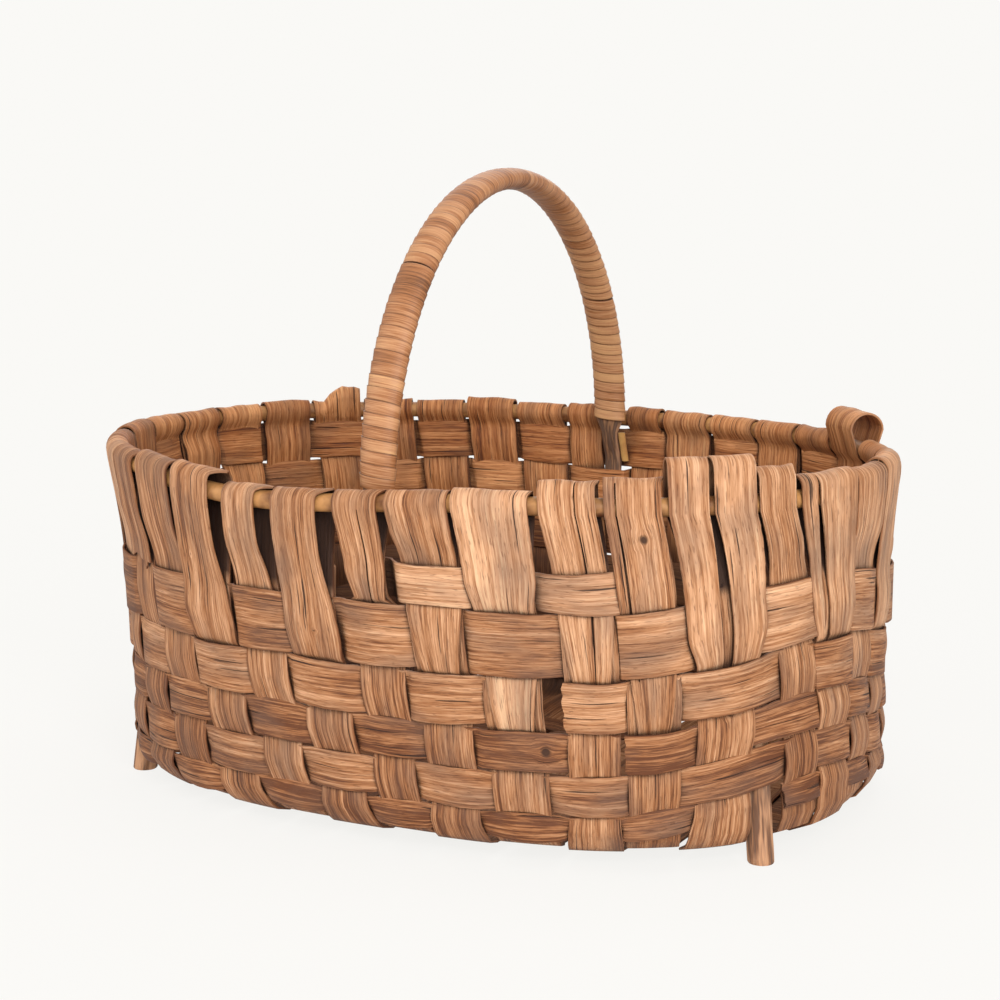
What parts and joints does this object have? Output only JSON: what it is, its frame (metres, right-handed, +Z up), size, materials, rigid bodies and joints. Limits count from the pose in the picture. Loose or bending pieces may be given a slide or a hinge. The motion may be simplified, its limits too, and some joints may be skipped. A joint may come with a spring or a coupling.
{
  "type": "woven splint basket",
  "caption": "Oval splint basket plaited from wide wood strips, folded over a rim rod, with a wrapped hoop handle and short round legs.",
  "frame": {"origin": "middle of the length and width, on the surface that the legs stand on", "axes": "+X along the length, +Y across the width, from one foot of the handle to the other, +Z up"},
  "size_m": [0.5474, 0.3978, 0.41],
  "materials": {
    "splint": "weathered split wood, matte",
    "weaver": "weathered split wood, matte",
    "rod": "peeled light wood, satin",
    "core": "dark bark, matte",
    "wrap": "thin split wood, satin from handling",
    "stick": "peeled light wood, satin",
    "leg": "grey weathered stick with bark, matte"
  },
  "bodies": {
    "root": {"crosswise_splint_01": "splint", "crosswise_splint_02": "splint", "crosswise_splint_03": "splint", "crosswise_splint_04": "splint", "crosswise_splint_05": "splint", "crosswise_splint_06": "splint", "crosswise_splint_07": "splint", "crosswise_splint_08": "splint", "crosswise_splint_09": "splint", "crosswise_splint_10": "splint", "crosswise_splint_11": "splint", "crosswise_splint_12": "splint", "handle_core": "core", "handle_side_stick": "stick", "handle_wrap": "wrap", "leg_far_left": "leg", "leg_far_right": "leg", "leg_near_left": "leg", "leg_near_right": "leg", "lengthwise_splint_01": "splint", "lengthwise_splint_02": "splint", "lengthwise_splint_03": "splint", "lengthwise_splint_04": "splint", "lengthwise_splint_05": "splint", "lengthwise_splint_06": "splint", "rim_rod": "rod", "weaver_row_1_far": "weaver", "weaver_row_1_left": "weaver", "weaver_row_1_near": "weaver", "weaver_row_1_right": "weaver", "weaver_row_2": "weaver", "weaver_row_3": "weaver", "weaver_row_4": "weaver", "weaver_row_5": "weaver", "weaver_row_6_far": "weaver", "weaver_row_6_near": "weaver", "weaver_row_7_far": "weaver"}
  },
  "joints": []
}
